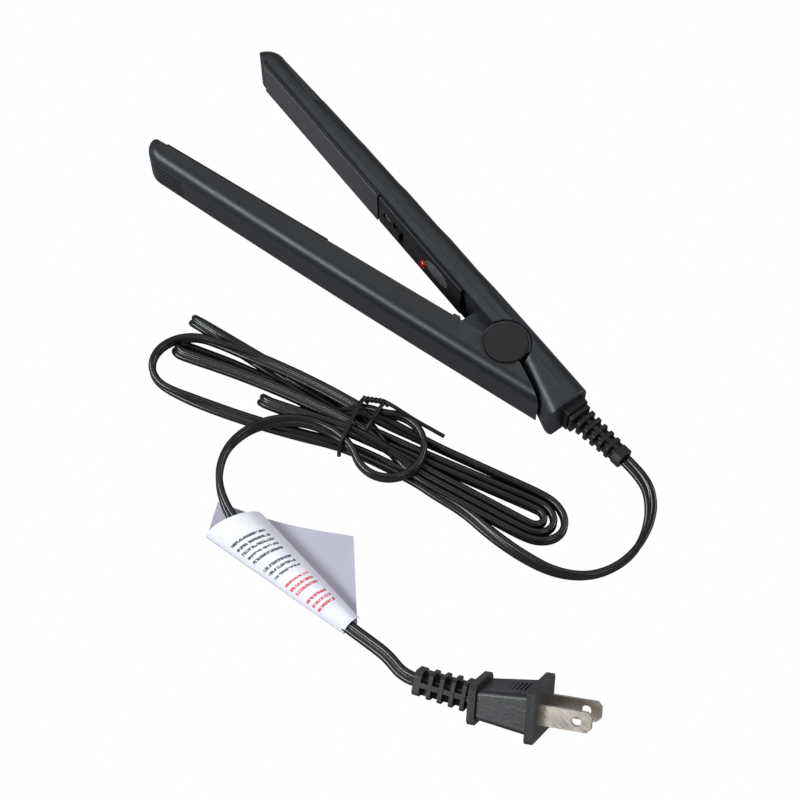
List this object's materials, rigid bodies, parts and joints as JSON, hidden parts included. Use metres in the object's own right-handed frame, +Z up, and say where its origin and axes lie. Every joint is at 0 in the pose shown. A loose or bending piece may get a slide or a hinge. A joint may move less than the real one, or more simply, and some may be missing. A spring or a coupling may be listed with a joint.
{
  "type": "two-plate hair iron",
  "caption": "Slim black plate iron with two sprung hinged arms, lamp, ribbed cord relief, tied flat cord, paper tag and a plug with flat blades.",
  "frame": {"origin": "hinge axis where it meets the plane that the iron lies on", "axes": "+Z up along the hinge axis; +X along the root arm from its tip to its cord end; +Y from the plate plane to the back of the root arm. The plate face of the root arm lies in Y = 0 and the moving arm, on -Y, stands open by 19 degrees"},
  "size_m": [0.2662, 0.1267, 0.0288],
  "materials": {
    "body_black": "satin black moulded plastic with a fine texture",
    "panel_black": "matt black moulded plastic",
    "plate_coating": "dark grey ceramic coating on aluminium",
    "carrier_resin": "natural heat-resistant resin",
    "heater_ceramic": "white ceramic slab",
    "silicone": "red-brown silicone",
    "steel": "zinc-plated steel",
    "spring_steel": "spring steel",
    "lamp_red": "clear red lamp lens",
    "badge_grey": "dark grey plate with no mark",
    "board_green": "green circuit board",
    "resistor": "tan lacquer",
    "fuse_metal": "bare metal can",
    "wire_insulation": "white insulation",
    "cord_black": "glossy black flexible PVC",
    "relief_black": "soft black PVC",
    "plug_black": "black moulded PVC with a fine grain",
    "blade_metal": "nickel-plated brass",
    "tie_black": "plastic-coated wire",
    "tag_paper": "white coated paper"
  },
  "bodies": {
    "root_arm": {"root_outer_shell": "body_black", "root_inner_shell": "body_black", "root_cover_panel": "panel_black", "badge_oval": "badge_grey", "indicator_lamp": "lamp_red", "panel_screw": "steel", "root_heater_plate": "plate_coating", "root_plate_carrier": "carrier_resin", "root_ceramic_heater": "heater_ceramic", "root_float_pads": "silicone", "circuit_board": "board_green", "lamp_resistor": "resistor", "thermal_fuse": "fuse_metal", "supply_wires": "wire_insulation", "strain_relief": "relief_black", "return_spring": "spring_steel", "cord_lead": "cord_black", "cord_hank": "cord_black", "cord_tail": "cord_black", "paper_tag": "tag_paper", "twist_tie": "tie_black", "plug_body": "plug_black", "plug_blades": "blade_metal"},
    "moving_arm": {"moving_outer_shell": "body_black", "moving_inner_cover": "panel_black", "moving_cover_screw": "steel", "moving_heater_plate": "plate_coating", "moving_plate_carrier": "carrier_resin", "moving_ceramic_heater": "heater_ceramic", "moving_float_pads": "silicone", "pivot_sleeve": "steel", "pivot_screw": "steel", "pivot_nut": "steel", "pivot_cap_upper": "panel_black", "pivot_cap_lower": "panel_black"}
  },
  "joints": [
    {"name": "arm_hinge", "type": "hinge", "parent": "root_arm", "child": "moving_arm", "pos_m": [0, 0, 0.0095], "axis": [0, 0, 1], "range_deg": [-19, 0], "stiffness_Nm_per_rad": 0.05, "springref_deg": 20.05, "deforming": ["return_spring"]}
  ]
}
